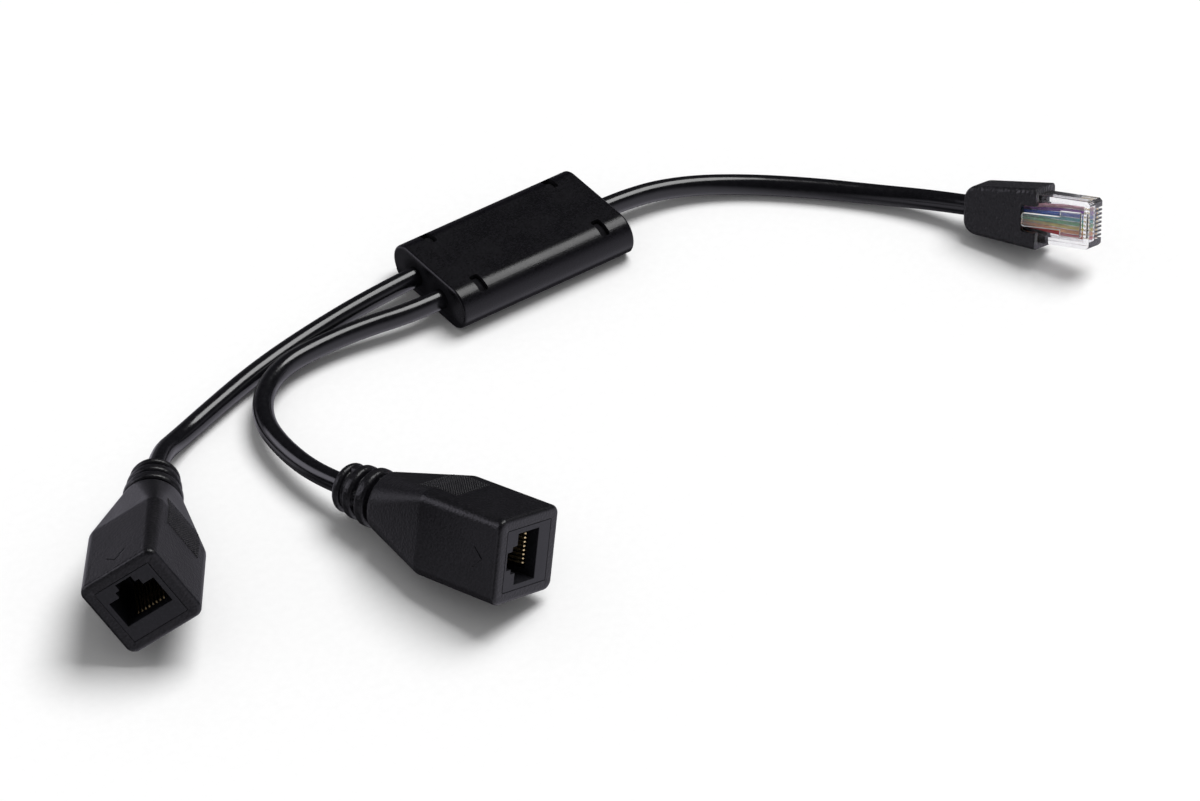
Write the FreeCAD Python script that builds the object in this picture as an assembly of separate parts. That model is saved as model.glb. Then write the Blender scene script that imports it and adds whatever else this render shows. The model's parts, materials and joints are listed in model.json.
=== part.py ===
import FreeCAD, Part
import math
import os

os.makedirs("parts", exist_ok=True)

V = FreeCAD.Vector
X_AXIS = V(1, 0, 0)
Y_AXIS = V(0, 1, 0)
Z_AXIS = V(0, 0, 1)

# ---------------------------------------------------------------- driving dimensions, millimetres
# Central housing: long axis X, flat underside on the floor, long edges fully rounded.
HOUSING_LENGTH = 50.0
HOUSING_WIDTH = 30.0
HOUSING_HEIGHT = 10.8
HOUSING_WALL = 1.5
HOUSING_END_WALL = 2.0
HOUSING_END_ROUND = 0.4
SHELL_SPLIT_Z = 2.2
SHELL_SEAM = 0.06
WINDOW_X = 17.9
WINDOW_LENGTH_X = 2.5
WINDOW_INNER_Y = 7.9
WINDOW_OUTER_Y = 13.1
WINDOW_FLOOR_Z = 7.2
HOOK_GAP = 0.3
HOOK_RECESS = 1.1
HOOK_HEAD_Z = 8.2
HOOK_ARM_INNER_Y = 9.6
HOOK_ARM_OUTER_Y = 11.3

# Cables: one size everywhere, leaving the housing at mid height.
CABLE_DIAMETER = 5.0
CABLE_PAIR_Y = 5.3
CABLE_Z = HOUSING_HEIGHT / 2
BUNDLE_BORE_DIAMETER = 4.4
FERRULE_DIAMETER = 6.4
FERRULE_LENGTH = 4.0
TURN_SHARE = 0.45

# Conductors: eight insulated wires per cable.
WIRE_COUNT = 8
WIRE_DIAMETER = 0.92
BUNDLE_RADIUS = 1.55
WIRE_SET_BACK = 0.4
CONTACT_PITCH = 1.02

# Circuit board inside the housing.
BOARD_LENGTH = 29.0
BOARD_WIDTH = 20.0
BOARD_THICKNESS = 1.0
BOARD_Z = 3.0
POST_DIAMETER = 2.4
POST_X = 13.0
POST_Y = 6.8
PAD_X = 12.5
PAD_PITCH = 1.05
PAD_DIAMETER = 0.9
PAD_HEIGHT = 0.35
FUSE_SIZE = (4.5, 3.2, 1.2)
FUSE_XY = (-3.5, 4.4)
CLAMP_SIZE = (4.3, 2.6, 2.1)
CLAMP_XY = (3.6, 4.4)
CAPACITOR_SIZE = (3.2, 1.6, 1.4)
CAPACITOR_POSITIONS = ((-3.5, -1.2), (3.6, -1.2), (-3.5, -5.0), (3.6, -5.0))

# In-line jack, own frame: X out of the mouth, Z towards the latch side, origin at the front face.
JACK_SIDE = 20.8
JACK_BLOCK_LENGTH = 24.0
JACK_EDGE_RADIUS = 2.4
JACK_FRONT_ROUND = 0.8
JACK_CONE_END = 42.3
JACK_CONE_END_RADIUS = 7.2
JACK_CORE_RADIUS = 5.0
JACK_LENGTH = 54.8
JACK_RIBS = ((43.9, 46.8, 7.05), (48.2, 50.9, 6.5), (52.4, 54.8, 5.95))
JACK_CAP_ROUND = 1.5
JACK_BRIDGE_WIDTH = 3.2
JACK_BRIDGE_RADIUS = 5.7
INSERT_WIDTH = 15.0
INSERT_HEIGHT = 15.2
INSERT_DEPTH = 20.8
INSERT_GAP = 0.06
MOUTH_HALF_WIDTH = 6.2
MOUTH_LOW = -3.5
MOUTH_HIGH = 3.7
MOUTH_DEPTH = 15.4
SHOULDER_SLOT_HALF_WIDTH = 3.3
SHOULDER_SLOT_HIGH = 5.25
FINGER_SLOT_HALF_WIDTH = 2.15
FINGER_SLOT_HIGH = 6.9
LATCH_LIP = 1.6
LATCH_POCKET_HALF_WIDTH = 3.5
LATCH_POCKET_DEPTH = 9.5
CARRIER_HALF_WIDTH = 4.9
CARRIER_LOW = -6.5
CARRIER_TOP = -4.65
CARRIER_FRONT = -3.1
CARRIER_BACK_LOW = -6.8
CARRIER_BACK_HALF_WIDTH = 5.8
COMB_RIB = 0.4
COMB_LENGTH = 2.3
COMB_HIGH = 0.8
LEAD_WIDTH = 0.45
LEAD_THICKNESS = 0.35
LEAD_FRONT = -4.65
LEAD_TAIL = -22.3
SPRING_ROOT = (-4.1, -4.15)
SPRING_BEND = (-3.5, -3.75)
SPRING_TOP = (-3.85, -3.3)
SPRING_TIP = (-14.0, -0.35)
SPRING_THICKNESS = 0.34
FAN_CAVITY_END = 34.0
FAN_CAVITY_HALF_WIDTH = 4.9
FAN_CAVITY_LOW = -5.6
FAN_CAVITY_HIGH = 2.4
JACK_FERRULE_FRONT = -46.5

# Where each jack lies: front face centre x and y, yaw, nose-up pitch and roll, degrees.
JACK_POSES = {
    "jack_1": (-150.8, -66.7, -126.6, 9.5, 35.2),
    "jack_2": (-70.5, -103.6, -75.3, 8.6, 70.6),
}

# Plug, own frame: X towards the nose, Z towards the latch side, origin at the boot centre.
BOOT_LENGTH = 19.8
BOOT_REAR = (11.6, 9.5)
BOOT_FRONT = (15.1, 10.2)
BOOT_EDGE = 1.2
BOOT_REAR_CORNER = 3.2
BOOT_NOTCH_DEPTH = 4.0
BOOT_NOTCH_HALF_WIDTH = 3.3
BOOT_NOTCH_CORNER = 0.9
PLUG_WIDTH = 11.68
PLUG_THICKNESS = 6.6
PLUG_LENGTH = 21.5
PLUG_STICK_OUT = 13.7
PLUG_NOSE_CHAMFER = 0.7
PLUG_FIT = 0.03
PLUG_CAVITY = (4.4, -0.85, 1.75, 1.9)
BLADE_SLOT_WIDTH = 0.5
BLADE_SLOT_LENGTH = 5.5
BLADE_THICKNESS = 0.36
BLADE_LENGTH = 4.4
BLADE_SET_BACK = 0.9
BLADE_LOW = -3.05
BLADE_HIGH = -0.45
LATCH_ROOT_BLOCK = (1.5, 3.0, 0.85)
LATCH_GAP = 0.3
LATCH_ROOT_Z = 3.85
LATCH_TIP_Z = 5.75
LATCH_TIP_BACK = 16.9
LATCH_SHOULDER_BACK = 7.2
LATCH_SHOULDER_HALF_WIDTH = 3.1
LATCH_FINGER_HALF_WIDTH = 1.65
LATCH_ROOT_THICKNESS = 0.9
LATCH_TIP_THICKNESS = 1.1
PLUG_FAN_X = 16.5
PLUG_FAN_Z = 0.1
PLUG_REAR_PITCH = 0.68
PLUG_REAR_STAGGER = 0.5
PLUG_POSE = (102.7, -61.3, -64.6, 11.6, 67.1)

# Cable routes, corner points between the housing end face and the connector's rear face.
CABLE_ROUTES = {
    "cable_1": [(-38.1, 5.3, 4.8), (-58.1, 3.9, 3.1), (-75.1, 0.2, 3.0), (-90.8, -5.1, 3.1),
                (-103.0, -9.4, 3.0)],
    "cable_2": [(-33.7, -5.3, 5.3), (-46.3, -2.7, 4.8), (-58.4, -1.9, 4.4), (-69.5, -3.2, 4.6),
                (-79.1, -9.0, 5.1), (-85.2, -18.4, 5.3), (-87.0, -29.6, 5.6)],
    "cable_3": [(35.5, 0.3, 4.9), (48.6, -2.2, 3.6), (61.1, -8.9, 2.7), (74.2, -20.3, 2.7),
                (85.2, -32.0, 2.9)],
}
LAST_STRAIGHT = {"cable_1": 9.8, "cable_2": 9.0, "cable_3": 10.0}


# ---------------------------------------------------------------- helpers
def box(x0, x1, y0, y1, z0, z1):
    """Axis-aligned box between two corners."""
    return Part.makeBox(x1 - x0, y1 - y0, z1 - z0, V(x0, y0, z0))


def cylinder(radius, start, end):
    """Cylinder from one point to another."""
    run = end - start
    return Part.makeCylinder(radius, run.Length, start, run)


def fuse_all(shapes):
    """Union of a list of shapes, with coplanar faces merged."""
    result = shapes[0]
    for shape in shapes[1:]:
        result = result.fuse(shape)
    return result.removeSplitter()


def fillet_where(shape, radius, test):
    """Fillet the edges that pass the test."""
    edges = [edge for edge in shape.Edges if test(edge)]
    return shape.makeFillet(radius, edges)


def runs_along(edge, axis):
    """True for a straight edge parallel to an axis."""
    if len(edge.Vertexes) != 2:
        return False
    run = edge.Vertexes[1].Point - edge.Vertexes[0].Point
    return run.Length > 0 and abs(run.normalize().dot(axis)) > 0.999


def rotation(yaw, pitch, roll):
    """Roll about own X, then nose-up pitch, then yaw about the vertical."""
    turn = FreeCAD.Rotation(Z_AXIS, yaw)
    tilt = FreeCAD.Rotation(Y_AXIS, -pitch)
    spin = FreeCAD.Rotation(X_AXIS, roll)
    return turn.multiply(tilt).multiply(spin)


def resting_placement(shape, pose):
    """Placement that turns a piece to its pose and drops it until it touches the floor."""
    x, y, yaw, pitch, roll = pose
    turned = shape.copy()
    turned.Placement = FreeCAD.Placement(V(x, y, 0), rotation(yaw, pitch, roll))
    lift = -turned.optimalBoundingBox().ZMin
    return FreeCAD.Placement(V(x, y, lift), rotation(yaw, pitch, roll))


def rounded_rectangle(x, half_y, half_z, radius):
    """Closed wire in a plane of constant X, with eight edges."""
    corners = ((1, 1), (-1, 1), (-1, -1), (1, -1))
    diagonal = math.sqrt(0.5)
    points = []
    for sign_y, sign_z in corners:
        centre = V(x, sign_y * (half_y - radius), sign_z * (half_z - radius))
        to_y = V(0, sign_y * radius, 0)
        to_z = V(0, 0, sign_z * radius)
        first, last = (to_y, to_z) if sign_y == sign_z else (to_z, to_y)
        middle = V(0, sign_y * radius * diagonal, sign_z * radius * diagonal)
        points.append((centre + first, centre + middle, centre + last))
    edges = []
    for index, (start, middle, end) in enumerate(points):
        edges.append(Part.Arc(start, middle, end).toShape())
        following = points[(index + 1) % len(points)][0]
        edges.append(Part.LineSegment(end, following).toShape())
    return Part.Wire(edges)


def rounded_path(points):
    """Straight runs joined by tangent arcs through a list of corner points."""
    edges = []
    radii = []
    start = points[0]
    for previous, corner, following in zip(points, points[1:], points[2:]):
        back = previous - corner
        ahead = following - corner
        turn = math.pi - back.getAngle(ahead)
        trim = TURN_SHARE * min(back.Length, ahead.Length)
        radius = trim / math.tan(turn / 2)
        radii.append(round(radius, 1))
        unit_back = V(back).normalize()
        unit_ahead = V(ahead).normalize()
        arc_start = corner + unit_back * trim
        arc_end = corner + unit_ahead * trim
        bisector = (unit_back + unit_ahead).normalize()
        middle = corner + bisector * (radius / math.cos(turn / 2) - radius)
        edges.append(Part.LineSegment(start, arc_start).toShape())
        edges.append(Part.Arc(arc_start, middle, arc_end).toShape())
        start = arc_end
    edges.append(Part.LineSegment(start, points[-1]).toShape())
    return Part.Wire(edges), radii


def swept_round(path, diameter):
    """Solid round bar along a path."""
    first = path.OrderedEdges[0]
    start = first.valueAt(first.FirstParameter)
    heading = first.tangentAt(first.FirstParameter)
    section = Part.Wire([Part.makeCircle(diameter / 2, start, heading)])
    return path.makePipeShell([section], True, False)


def wire_strand(points):
    """Insulated wire through straight runs with rounded bends."""
    path, _ = rounded_path(points)
    return swept_round(path, WIRE_DIAMETER)


def bundle_offset(index):
    """Place of one wire in the round bundle: one in the middle and seven around it."""
    if index == 0:
        return 0.0, 0.0
    angle = 2 * math.pi * (index - 1) / (WIRE_COUNT - 1)
    return BUNDLE_RADIUS * math.cos(angle), BUNDLE_RADIUS * math.sin(angle)


def bundle_order():
    """Bundle places sorted across the bundle; a pair one above the other alternates low and high."""
    places = [bundle_offset(index) for index in range(WIRE_COUNT)]
    return sorted(places, key=lambda place: (round(place[0], 3), -place[1] if place[0] > 0 else place[1]))


def row_offset(index, pitch):
    """Place of one wire or contact in a flat row centred on zero."""
    return (index - (WIRE_COUNT - 1) / 2) * pitch


def ferrule(x_start):
    """Crimped ring around the wires."""
    outer = cylinder(FERRULE_DIAMETER / 2, V(x_start, 0, 0), V(x_start + FERRULE_LENGTH, 0, 0))
    inner = cylinder(BUNDLE_BORE_DIAMETER / 2, V(x_start, 0, 0), V(x_start + FERRULE_LENGTH, 0, 0))
    return outer.cut(inner)


def ferrule_seat(x_start):
    """Solid space that a ferrule takes up."""
    return cylinder(FERRULE_DIAMETER / 2, V(x_start, 0, 0), V(x_start + FERRULE_LENGTH, 0, 0))


# ---------------------------------------------------------------- housing
def housing_solid(inset, end_inset):
    """Bar with a flat top and bottom and half-round long edges, shrunk by an inset."""
    half_height = HOUSING_HEIGHT / 2 - inset
    half_width = HOUSING_WIDTH / 2 - inset
    half_length = HOUSING_LENGTH / 2 - end_inset
    flat = half_width - half_height
    top = CABLE_Z + half_height
    bottom = CABLE_Z - half_height
    edges = [
        Part.LineSegment(V(-half_length, -flat, top), V(-half_length, flat, top)).toShape(),
        Part.Arc(V(-half_length, flat, top), V(-half_length, half_width, CABLE_Z),
                 V(-half_length, flat, bottom)).toShape(),
        Part.LineSegment(V(-half_length, flat, bottom), V(-half_length, -flat, bottom)).toShape(),
        Part.Arc(V(-half_length, -flat, bottom), V(-half_length, -half_width, CABLE_Z),
                 V(-half_length, -flat, top)).toShape(),
    ]
    return Part.Face(Part.Wire(edges)).extrude(V(2 * half_length, 0, 0))


def cable_exits():
    """End, direction and node number of each cable leaving the housing."""
    end = HOUSING_LENGTH / 2
    return (
        ("cable_1", V(-end, CABLE_PAIR_Y, CABLE_Z), V(-1, 0, 0)),
        ("cable_2", V(-end, -CABLE_PAIR_Y, CABLE_Z), V(-1, 0, 0)),
        ("cable_3", V(end, 0, CABLE_Z), V(1, 0, 0)),
    )


def housing_shell():
    """Hollow housing with the three cable holes, before it is split into two shells."""
    outer = housing_solid(0, 0)
    end_x = HOUSING_LENGTH / 2
    outer = fillet_where(outer, HOUSING_END_ROUND,
                         lambda edge: abs(abs(edge.CenterOfMass.x) - end_x) < 0.01)
    shell = outer.cut(housing_solid(HOUSING_WALL, HOUSING_END_WALL))
    for _, end, outward in cable_exits():
        hole = cylinder(BUNDLE_BORE_DIAMETER / 2, end + outward, end - outward * (HOUSING_END_WALL + 1))
        shell = shell.cut(hole)
    return shell


def window_cutter(sign_x, sign_y):
    """Rounded window through the upper shell, across the rounded long edge."""
    half = WINDOW_LENGTH_X / 2
    x = sign_x * WINDOW_X
    y0, y1 = sorted((sign_y * WINDOW_INNER_Y, sign_y * WINDOW_OUTER_Y))
    cutter = box(x - half, x + half, y0, y1, WINDOW_FLOOR_Z, HOUSING_HEIGHT + 1)
    return fillet_where(cutter, 0.7, lambda edge: runs_along(edge, Z_AXIS))


def housing_top_shell(shell):
    """Upper shell: everything above the seam, with four snap windows."""
    length = HOUSING_LENGTH
    width = HOUSING_WIDTH
    above = box(-length, length, -width, width, SHELL_SPLIT_Z + SHELL_SEAM, HOUSING_HEIGHT + 1)
    top = shell.common(above)
    for sign_x in (-1, 1):
        for sign_y in (-1, 1):
            top = top.cut(window_cutter(sign_x, sign_y))
    return top


def snap_hook(sign_x, sign_y):
    """Arm rising from the base with a head that sits in a window."""
    half = WINDOW_LENGTH_X / 2 - HOOK_GAP
    x = sign_x * WINDOW_X
    arm_y = sorted((sign_y * HOOK_ARM_INNER_Y, sign_y * HOOK_ARM_OUTER_Y))
    head_y = sorted((sign_y * (WINDOW_INNER_Y + HOOK_GAP), sign_y * (WINDOW_OUTER_Y - HOOK_GAP)))
    arm = box(x - half, x + half, arm_y[0], arm_y[1], 1.0, HOOK_HEAD_Z + 0.2)
    head = box(x - half, x + half, head_y[0], head_y[1], HOOK_HEAD_Z, HOUSING_HEIGHT)
    return arm.fuse(head).common(housing_solid(HOOK_RECESS, HOUSING_END_WALL))


def housing_bottom_shell(shell):
    """Base tray with four snap hooks and four posts under the board."""
    length = HOUSING_LENGTH
    width = HOUSING_WIDTH
    tray = shell.common(box(-length, length, -width, width, -1, SHELL_SPLIT_Z))
    pieces = [tray]
    for sign_x in (-1, 1):
        for sign_y in (-1, 1):
            pieces.append(snap_hook(sign_x, sign_y))
            foot = V(sign_x * POST_X, sign_y * POST_Y, HOUSING_WALL / 2)
            pieces.append(cylinder(POST_DIAMETER / 2, foot, V(foot.x, foot.y, BOARD_Z)))
    return fuse_all(pieces)


def board_pads():
    """Solder pads on the board: a row of eight at each cable."""
    top = BOARD_Z + BOARD_THICKNESS
    pads = []
    for _, end, outward in cable_exits():
        x = outward.x * PAD_X
        for index in range(WIRE_COUNT):
            y = end.y + row_offset(index, PAD_PITCH)
            pads.append(cylinder(PAD_DIAMETER / 2, V(x, y, top), V(x, y, top + PAD_HEIGHT)))
    return Part.makeCompound(pads)


def board_block(size, x, y):
    """Surface-mount part standing on the board."""
    top = BOARD_Z + BOARD_THICKNESS
    length, width, height = size
    block = box(x - length / 2, x + length / 2, y - width / 2, y + width / 2, top, top + height)
    return fillet_where(block, 0.2, lambda edge: runs_along(edge, Z_AXIS))


def housing_conductors(end, outward):
    """Wires from the cable end to their pads on the board."""
    inner_x = outward.x * (HOUSING_LENGTH / 2 - HOUSING_END_WALL - FERRULE_LENGTH - 0.6)
    pad_z = BOARD_Z + BOARD_THICKNESS + PAD_HEIGHT + WIRE_DIAMETER / 2
    strands = []
    for index, (across, up) in enumerate(bundle_order()):
        y = end.y + row_offset(index, PAD_PITCH)
        strands.append(wire_strand([
            V(end.x - outward.x * WIRE_SET_BACK, end.y + across, end.z + up),
            V(inner_x, end.y + across, end.z + up),
            V(outward.x * (PAD_X + 1.0), y, pad_z),
            V(outward.x * (PAD_X - 0.4), y, pad_z),
        ]))
    return Part.makeCompound(strands)


def housing_ferrule(end, outward):
    """Crimped ring that keeps a cable from pulling out, against the inside of the end wall."""
    near = end - outward * HOUSING_END_WALL
    far = near - outward * FERRULE_LENGTH
    ring = cylinder(FERRULE_DIAMETER / 2, far, near)
    return ring.cut(cylinder(BUNDLE_BORE_DIAMETER / 2, far, near))


# ---------------------------------------------------------------- in-line jack, own frame
def jack_overmould():
    """Soft moulded body: square block, taper to round and ribbed strain relief."""
    half = JACK_SIDE / 2
    front = rounded_rectangle(0, half, half, JACK_EDGE_RADIUS)
    block = Part.Face(front).extrude(V(-JACK_BLOCK_LENGTH, 0, 0))
    block = fillet_where(block, JACK_FRONT_ROUND, lambda edge: abs(edge.CenterOfMass.x) < 0.01)
    near = rounded_rectangle(-JACK_BLOCK_LENGTH, half, half, JACK_EDGE_RADIUS)
    round_half = JACK_CONE_END_RADIUS
    far = rounded_rectangle(-JACK_CONE_END, round_half, round_half, round_half - 0.05)
    taper = Part.makeLoft([near, far], True, True)
    core = cylinder(JACK_CORE_RADIUS, V(-JACK_LENGTH, 0, 0), V(-JACK_CONE_END, 0, 0))
    pieces = [block, taper, core]
    for index, (start, end, radius) in enumerate(JACK_RIBS):
        rib = cylinder(radius, V(-end, 0, 0), V(-start, 0, 0))
        if end == JACK_LENGTH:
            rib = fillet_where(rib, JACK_CAP_ROUND, lambda edge: abs(edge.CenterOfMass.x + end) < 0.01)
        pieces.append(rib)
    pieces += jack_bridges()
    body = pieces[0]
    for piece in pieces[1:]:
        body = body.fuse(piece)
    return body.cut(jack_hollow())


def jack_bridges():
    """Short webs that join neighbouring ribs, turned a quarter turn from groove to groove."""
    half = JACK_BRIDGE_WIDTH / 2
    starts = [JACK_CONE_END] + [rib[1] for rib in JACK_RIBS[:-1]]
    bridges = []
    for index, start in enumerate(starts):
        end = JACK_RIBS[index][0]
        reach = JACK_BRIDGE_RADIUS
        if index % 2 == 0:
            bridges.append(box(-end, -start, -reach, reach, -half, half))
        else:
            bridges.append(box(-end, -start, -half, half, -reach, reach))
    return bridges


def jack_hollow():
    """Space inside the moulding for the socket, the fanned wires, the ferrule and the bundle."""
    half_width = INSERT_WIDTH / 2
    half_height = INSERT_HEIGHT / 2
    pocket = box(-INSERT_DEPTH, 1, -half_width, half_width, -half_height, half_height)
    fan = box(-FAN_CAVITY_END, -INSERT_DEPTH, -FAN_CAVITY_HALF_WIDTH, FAN_CAVITY_HALF_WIDTH,
              FAN_CAVITY_LOW, FAN_CAVITY_HIGH)
    bore = cylinder(BUNDLE_BORE_DIAMETER / 2, V(-JACK_LENGTH - 1, 0, 0), V(-FAN_CAVITY_END + 0.5, 0, 0))
    seat = ferrule_seat(JACK_FERRULE_FRONT - FERRULE_LENGTH)
    return pocket.fuse(fan).fuse(bore).fuse(seat)


def jack_insert():
    """Hard socket housing with the stepped plug opening."""
    half_width = INSERT_WIDTH / 2 - INSERT_GAP
    half_height = INSERT_HEIGHT / 2 - INSERT_GAP
    block = box(-INSERT_DEPTH, 0, -half_width, half_width, -half_height, half_height)
    cutters = [
        box(-MOUTH_DEPTH, 1, -MOUTH_HALF_WIDTH, MOUTH_HALF_WIDTH, MOUTH_LOW, MOUTH_HIGH),
        box(-LATCH_POCKET_DEPTH, 1, -SHOULDER_SLOT_HALF_WIDTH, SHOULDER_SLOT_HALF_WIDTH,
            MOUTH_LOW, SHOULDER_SLOT_HIGH),
        box(-LATCH_POCKET_DEPTH, 1, -FINGER_SLOT_HALF_WIDTH, FINGER_SLOT_HALF_WIDTH,
            MOUTH_LOW, FINGER_SLOT_HIGH),
        box(-LATCH_POCKET_DEPTH, -LATCH_LIP, -LATCH_POCKET_HALF_WIDTH, LATCH_POCKET_HALF_WIDTH,
            MOUTH_LOW, FINGER_SLOT_HIGH),
        box(-MOUTH_DEPTH, CARRIER_FRONT, -CARRIER_HALF_WIDTH, CARRIER_HALF_WIDTH, CARRIER_LOW, MOUTH_HIGH),
        box(-INSERT_DEPTH - 1, -MOUTH_DEPTH, -CARRIER_BACK_HALF_WIDTH, CARRIER_BACK_HALF_WIDTH,
            CARRIER_BACK_LOW, MOUTH_HIGH),
    ]
    for cutter in cutters:
        block = block.cut(cutter)
    return block


def jack_contact_carrier():
    """Block behind the plug space that holds the contacts, with a comb for their free ends."""
    base = box(-MOUTH_DEPTH, CARRIER_FRONT, -CARRIER_HALF_WIDTH, CARRIER_HALF_WIDTH, CARRIER_LOW, CARRIER_TOP)
    back = box(-INSERT_DEPTH, -MOUTH_DEPTH, -CARRIER_BACK_HALF_WIDTH, CARRIER_BACK_HALF_WIDTH,
               CARRIER_BACK_LOW, MOUTH_HIGH)
    pieces = [base, back]
    for index in range(WIRE_COUNT + 1):
        y = row_offset(index, CONTACT_PITCH) - CONTACT_PITCH / 2
        pieces.append(box(-MOUTH_DEPTH, -MOUTH_DEPTH + COMB_LENGTH, y - COMB_RIB / 2, y + COMB_RIB / 2,
                          CARRIER_TOP - 0.1, COMB_HIGH))
    carrier = fuse_all(pieces)
    half = row_offset(WIRE_COUNT - 1, CONTACT_PITCH) + LEAD_WIDTH
    slot = box(-INSERT_DEPTH - 1, -MOUTH_DEPTH, -half, half, CARRIER_TOP, CARRIER_TOP + LEAD_THICKNESS)
    return carrier.cut(slot)


def jack_contact_leads():
    """Fixed lower run of the eight contacts, from the solder tails to the bend."""
    leads = []
    for index in range(WIRE_COUNT):
        y = row_offset(index, CONTACT_PITCH)
        leads.append(box(LEAD_TAIL, LEAD_FRONT, y - LEAD_WIDTH / 2, y + LEAD_WIDTH / 2,
                         CARRIER_TOP, CARRIER_TOP + LEAD_THICKNESS))
    return Part.makeCompound(leads)


def jack_contact_springs():
    """Sprung arms of the eight contacts, bent back from the mouth and sloping into the plug space."""
    slope = math.atan2(SPRING_TIP[1] - SPRING_TOP[1], SPRING_TOP[0] - SPRING_TIP[0])
    under = (SPRING_THICKNESS * math.sin(slope), SPRING_THICKNESS * math.cos(slope))
    outline = [
        SPRING_ROOT,
        SPRING_BEND,
        SPRING_TOP,
        SPRING_TIP,
        (SPRING_TIP[0] - under[0], SPRING_TIP[1] - under[1]),
        (SPRING_TOP[0] - under[0], SPRING_TOP[1] - under[1]),
        (SPRING_BEND[0] - SPRING_THICKNESS, SPRING_BEND[1] - 0.02),
        (SPRING_ROOT[0] - 0.05, SPRING_ROOT[1] + SPRING_THICKNESS / 2),
    ]
    springs = []
    for index in range(WIRE_COUNT):
        y = row_offset(index, CONTACT_PITCH) - LEAD_WIDTH / 2
        points = [V(x, y, z) for x, z in outline]
        face = Part.Face(Part.makePolygon(points + points[:1]))
        springs.append(face.extrude(V(0, LEAD_WIDTH, 0)))
    return Part.makeCompound(springs)


def jack_conductors():
    """Wires from the end of the cable to the contact tails."""
    tail_z = CARRIER_TOP + LEAD_THICKNESS + WIRE_DIAMETER / 2
    strands = []
    for index, (across, up) in enumerate(bundle_order()):
        y = row_offset(index, CONTACT_PITCH)
        strands.append(wire_strand([
            V(-JACK_LENGTH, across, up),
            V(-FAN_CAVITY_END + 3.0, across, up),
            V(LEAD_TAIL - 0.3, y, tail_z),
            V(-INSERT_DEPTH - 0.3, y, tail_z),
        ]))
    return Part.makeCompound(strands)


# ---------------------------------------------------------------- plug, own frame
BOOT_FRONT_X = BOOT_LENGTH / 2
BOOT_REAR_X = -BOOT_LENGTH / 2
NOSE_X = BOOT_FRONT_X + PLUG_STICK_OUT
PLUG_BACK_X = NOSE_X - PLUG_LENGTH


def plug_boot():
    """Moulded boot: tapered block with rounded rear corners and a notch for the latch tip."""
    rear = rounded_rectangle(BOOT_REAR_X, BOOT_REAR[0] / 2, BOOT_REAR[1] / 2, BOOT_EDGE)
    front = rounded_rectangle(BOOT_FRONT_X, BOOT_FRONT[0] / 2, BOOT_FRONT[1] / 2, BOOT_EDGE)
    block = Part.makeLoft([rear, front], True, True)
    reach = BOOT_FRONT[0]
    plan = box(BOOT_REAR_X, BOOT_FRONT_X + 1, -BOOT_REAR[0] / 2, BOOT_REAR[0] / 2, -reach, reach)
    plan = fillet_where(plan, BOOT_REAR_CORNER,
                        lambda edge: runs_along(edge, Z_AXIS) and edge.CenterOfMass.x < 0)
    wide_front = box(BOOT_REAR_X + BOOT_REAR_CORNER, BOOT_FRONT_X + 1, -reach, reach, -reach, reach)
    block = block.common(plan.fuse(wide_front))
    block = block.cut(boot_notch())
    return block.cut(boot_hollow())


def boot_notch():
    """Round-cornered notch in the latch side of the boot."""
    low = PLUG_THICKNESS / 2 - 0.1
    notch = box(BOOT_FRONT_X - BOOT_NOTCH_DEPTH, BOOT_FRONT_X + 2, -BOOT_NOTCH_HALF_WIDTH,
                BOOT_NOTCH_HALF_WIDTH, low, BOOT_FRONT[1])
    return fillet_where(notch, BOOT_NOTCH_CORNER,
                        lambda edge: runs_along(edge, Z_AXIS) and edge.CenterOfMass.x < BOOT_FRONT_X)


def boot_hollow():
    """Space inside the boot for the plug's rear, the fanned wires and the bundle."""
    half_width = PLUG_WIDTH / 2 + PLUG_FIT
    half_height = PLUG_THICKNESS / 2 + PLUG_FIT
    pocket = box(PLUG_BACK_X, BOOT_FRONT_X + 1, -half_width, half_width, -half_height, half_height)
    fan = box(PLUG_BACK_X - 3.6, PLUG_BACK_X, -PLUG_CAVITY[0], PLUG_CAVITY[0], -2.4, 2.4)
    bore = cylinder(BUNDLE_BORE_DIAMETER / 2, V(BOOT_REAR_X - 1, 0, 0), V(PLUG_BACK_X - 3.0, 0, 0))
    return pocket.fuse(fan).fuse(bore)


def plug_body():
    """Clear plug body with eight contact slots, a wire cavity and the root of the latch."""
    half_width = PLUG_WIDTH / 2
    half_height = PLUG_THICKNESS / 2
    body = box(PLUG_BACK_X, NOSE_X, -half_width, half_width, -half_height, half_height)
    body = body.makeChamfer(PLUG_NOSE_CHAMFER, [edge for edge in body.Edges if
                                                runs_along(edge, Z_AXIS) and edge.CenterOfMass.x > BOOT_FRONT_X])
    cavity_half, cavity_low, cavity_high, cavity_front = PLUG_CAVITY
    body = body.cut(box(PLUG_BACK_X - 1, NOSE_X - cavity_front, -cavity_half, cavity_half,
                        cavity_low, cavity_high))
    for index in range(WIRE_COUNT):
        y = row_offset(index, CONTACT_PITCH)
        half = BLADE_SLOT_WIDTH / 2
        body = body.cut(box(NOSE_X - BLADE_SLOT_LENGTH, NOSE_X + 1, y - half, y + half,
                            -half_height - 1, BLADE_HIGH + 0.05))
    length, half, height = LATCH_ROOT_BLOCK
    root = box(NOSE_X - length - 0.3, NOSE_X - 0.3, -half, half, half_height - 0.2, half_height + height)
    return body.fuse(root).removeSplitter()


def plug_blades():
    """Eight contact blades standing in the slots at the nose."""
    blades = []
    for index in range(WIRE_COUNT):
        y = row_offset(index, CONTACT_PITCH)
        half = BLADE_THICKNESS / 2
        front = NOSE_X - BLADE_SET_BACK
        blades.append(box(front - BLADE_LENGTH, front, y - half, y + half, BLADE_LOW, BLADE_HIGH))
    return Part.makeCompound(blades)


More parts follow.
